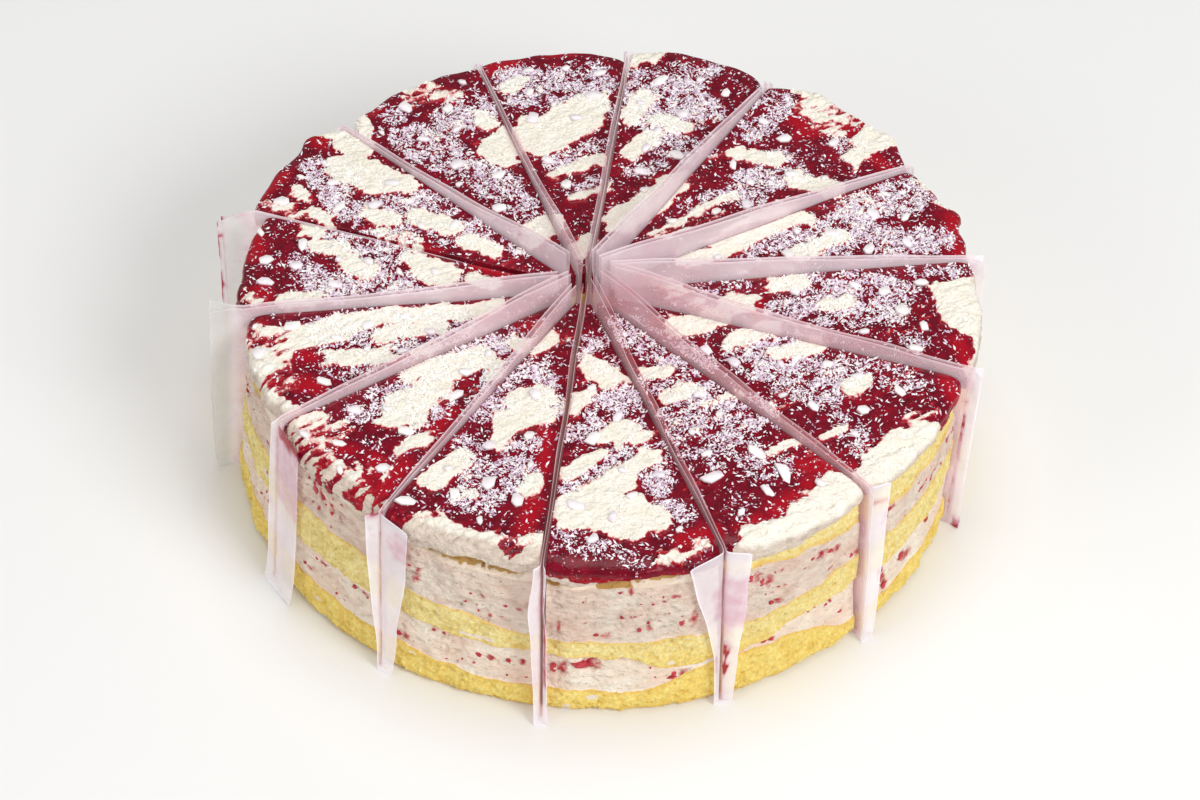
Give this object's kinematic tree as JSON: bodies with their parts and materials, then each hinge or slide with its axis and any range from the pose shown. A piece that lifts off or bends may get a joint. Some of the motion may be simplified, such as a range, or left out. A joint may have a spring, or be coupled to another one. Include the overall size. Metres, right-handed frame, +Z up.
{
  "type": "strawberry shortcake",
  "caption": "Round layered strawberry cream cake with a jam-streaked top and white flakes, cut into portions with a folded paper standing in every cut.",
  "frame": {"origin": "middle of the cake's flat underside, on the surface that it stands on", "axes": "+Z up; -Y towards the front, the side turned to the camera in the picture; +X to the right seen from the front"},
  "size_m": [0.2831, 0.2772, 0.0905],
  "materials": {
    "cream": "soft matte whipped cream with berry bits, ivory on top and greyish pink at the side",
    "sponge": "matte, open-pored yellow sponge",
    "jam": "glossy deep crimson strawberry jam",
    "flakes": "white flakes with a faint lilac cast",
    "paper": "thin translucent greaseproof paper, stained pink near its top edge"
  },
  "bodies": {
    "root": {"portion_01": "cream", "portion_02": "cream", "portion_03": "cream", "portion_04": "cream", "portion_05": "cream", "portion_06": "cream", "portion_07": "cream", "portion_08": "cream", "portion_09": "cream", "portion_10": "cream", "portion_11": "cream", "portion_12": "cream", "portion_13": "cream", "portion_14": "cream", "paper_01": "paper", "paper_02": "paper", "paper_03": "paper", "paper_04": "paper", "paper_05": "paper", "paper_06": "paper", "paper_07": "paper", "paper_08": "paper", "paper_09": "paper", "paper_10": "paper", "paper_11": "paper", "paper_12": "paper", "paper_13": "paper", "paper_14": "paper"}
  },
  "joints": []
}
